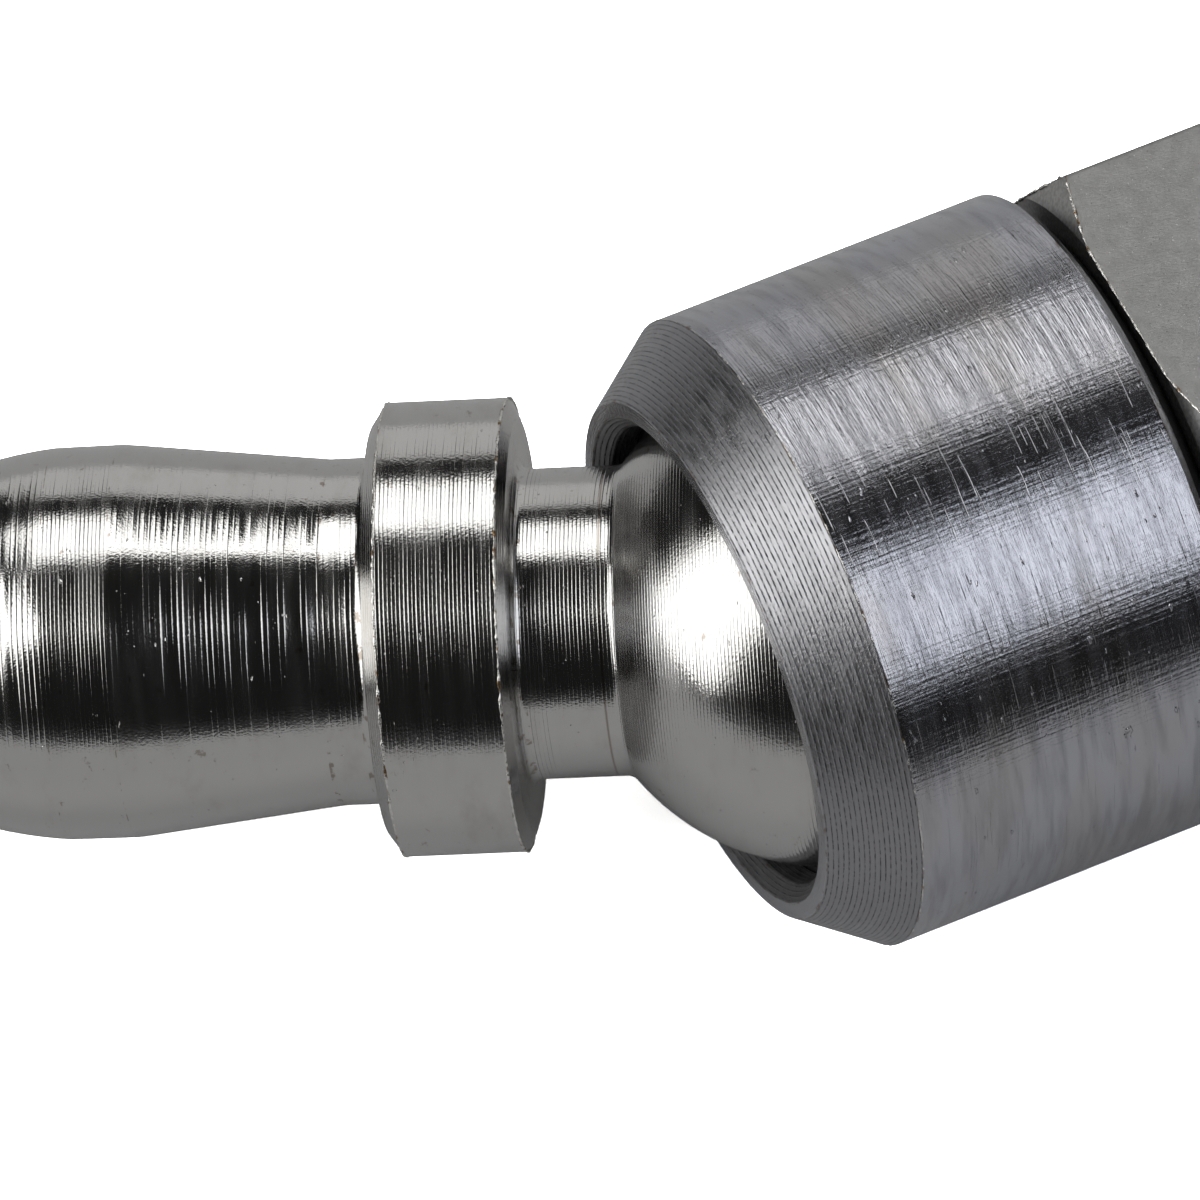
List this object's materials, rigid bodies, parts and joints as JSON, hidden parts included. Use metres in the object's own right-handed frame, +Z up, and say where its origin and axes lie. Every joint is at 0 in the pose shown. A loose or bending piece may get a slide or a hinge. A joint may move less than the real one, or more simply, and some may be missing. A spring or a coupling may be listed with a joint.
{
  "type": "in-line ball joint rod end",
  "caption": "In-line ball joint: a turned ball stem with a collar and a plug-in nose swings in a screwed socket sleeve behind a hex body with a male thread.",
  "frame": {"origin": "centre of the hex body's rear shoulder, where the male thread starts", "axes": "+X along the body axis out through the male thread; +Z up, square to one flat of the hex"},
  "size_m": [0.0661, 0.0313, 0.0204],
  "materials": {
    "turned_steel": "bright nickel plate over turned steel",
    "sleeve_steel": "nickel plate over turned steel, burnished and scuffed",
    "hex_steel": "dull nickel plate over drawn hex bar",
    "bearing_plastic": "moulded acetal, black",
    "seal_rubber": "nitrile rubber",
    "spring_steel": "oiled spring steel"
  },
  "bodies": {
    "socket": {"socket_sleeve": "sleeve_steel", "rear_seat_ring": "bearing_plastic", "ball_seal_ring": "seal_rubber", "backing_washer": "spring_steel", "disc_spring": "spring_steel", "hex_body": "hex_steel", "spigot_o_ring": "seal_rubber", "thread_seal_ring": "seal_rubber"},
    "bearing_ring": {"front_bearing_ring": "bearing_plastic"},
    "stem": {"ball_stem": "turned_steel"}
  },
  "joints": [
    {"name": "stem_azimuth", "type": "hinge", "parent": "socket", "child": "bearing_ring", "pos_m": [-0.0189, 0, 0], "axis": [1, 0, 0], "continuous": true},
    {"name": "stem_swing", "type": "hinge", "parent": "bearing_ring", "child": "stem", "pos_m": [-0.0189, 0, 0], "axis": [0, -0.2198, -0.9755], "range_deg": [-55.51, 0.49]}
  ]
}
